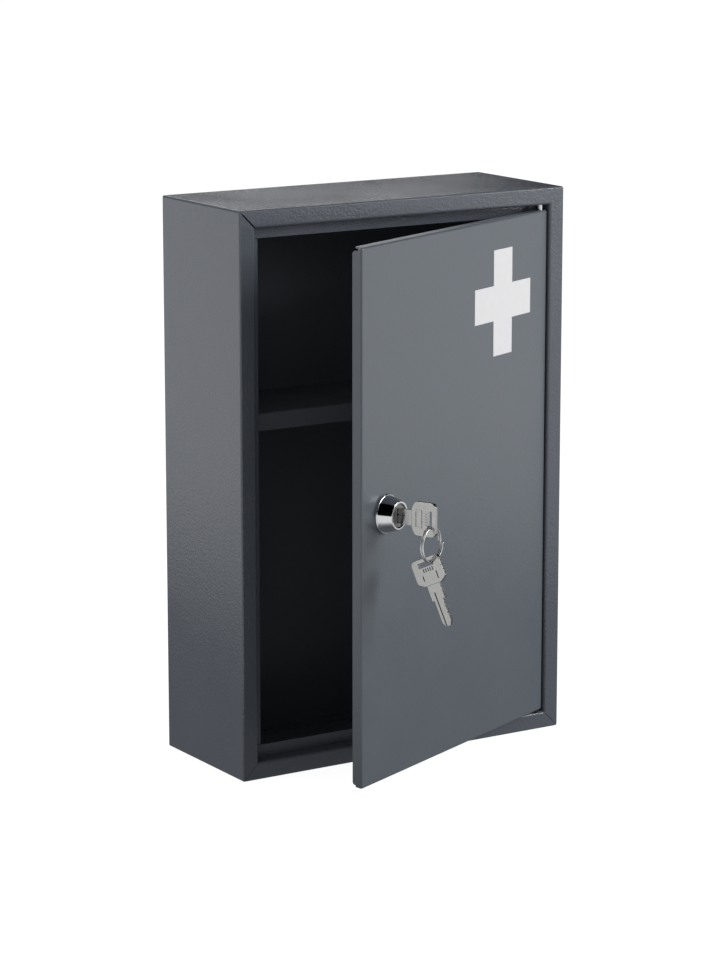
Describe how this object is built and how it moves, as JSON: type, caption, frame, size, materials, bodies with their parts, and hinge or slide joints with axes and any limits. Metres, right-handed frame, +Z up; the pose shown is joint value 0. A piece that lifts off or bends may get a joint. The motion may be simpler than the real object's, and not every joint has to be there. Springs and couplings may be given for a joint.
{
  "type": "medicine cabinet",
  "caption": "Wall medicine cabinet of folded, powder-coated sheet steel with a shelf, a flush hinged door with a white cross, and a cam lock with keys on a split ring.",
  "frame": {"origin": "centre of the four wall holes, on the back face", "axes": "+X to the right seen from the front, +Y into the wall, +Z up; the door faces -Y"},
  "size_m": [0.215, 0.1921, 0.32],
  "materials": {
    "body_paint": "fine textured powder coat",
    "back_paint": "fine textured powder coat",
    "shelf_paint": "fine textured powder coat",
    "door_paint": "fine textured powder coat",
    "white_film": "satin white film",
    "nylon": "black nylon",
    "pin_steel": "bright turned steel",
    "lock_chrome": "polished chrome plate",
    "nut_zinc": "bright zinc plate",
    "washer_zinc": "bright zinc plate",
    "cam_zinc": "bright zinc plate",
    "screw_zinc": "bright zinc plate",
    "core_nickel": "nickel plate",
    "wafer_brass": "stamped",
    "spring_steel": "drawn spring steel",
    "key_nickel": "satin nickel plate",
    "ring_steel": "bright drawn wire"
  },
  "bodies": {
    "cabinet": {"cabinet_shell": "body_paint", "back_panel": "back_paint", "shelf": "shelf_paint", "hinge_pin_upper": "pin_steel", "hinge_pin_lower": "pin_steel", "hinge_washer": "nylon"},
    "door": {"door_panel": "door_paint", "cross_decal": "white_film", "lock_housing": "lock_chrome", "lock_nut": "nut_zinc", "lock_washer": "washer_zinc"},
    "lock_core": {"lock_plug": "core_nickel", "tumbler_wafers": "wafer_brass", "tumbler_springs": "spring_steel", "stop_washer": "washer_zinc", "lock_cam": "cam_zinc", "cam_washer": "washer_zinc", "cam_screw": "screw_zinc"},
    "key": {"lock_key": "key_nickel"},
    "ring": {"key_ring": "ring_steel"},
    "spare": {"spare_key": "key_nickel"}
  },
  "joints": [
    {"name": "door_hinge", "type": "hinge", "parent": "cabinet", "child": "door", "pos_m": [0.0928, -0.082, 0], "axis": [0, 0, 1], "range_deg": [-24.2, 85.8]},
    {"name": "lock_turn", "type": "hinge", "parent": "door", "child": "lock_core", "pos_m": [-0.05756, -0.15287, 0.0003], "axis": [-0.4099, 0.9121, 0], "range_deg": [0, 90]},
    {"name": "key_pull", "type": "slide", "parent": "lock_core", "child": "key", "axis": [0.4099, -0.9121, 0], "range_m": [0, 0.02]},
    {"name": "ring_swing", "type": "hinge", "parent": "key", "child": "ring", "pos_m": [-0.04566, -0.17936, -0.0069], "axis": [0.4099, -0.9121, 0], "range_deg": [-80, 80]},
    {"name": "spare_key_swing", "type": "hinge", "parent": "ring", "child": "spare", "pos_m": [-0.04538, -0.17997, -0.02255], "axis": [0.9121, 0.4099, 0], "range_deg": [-60, 60]}
  ]
}
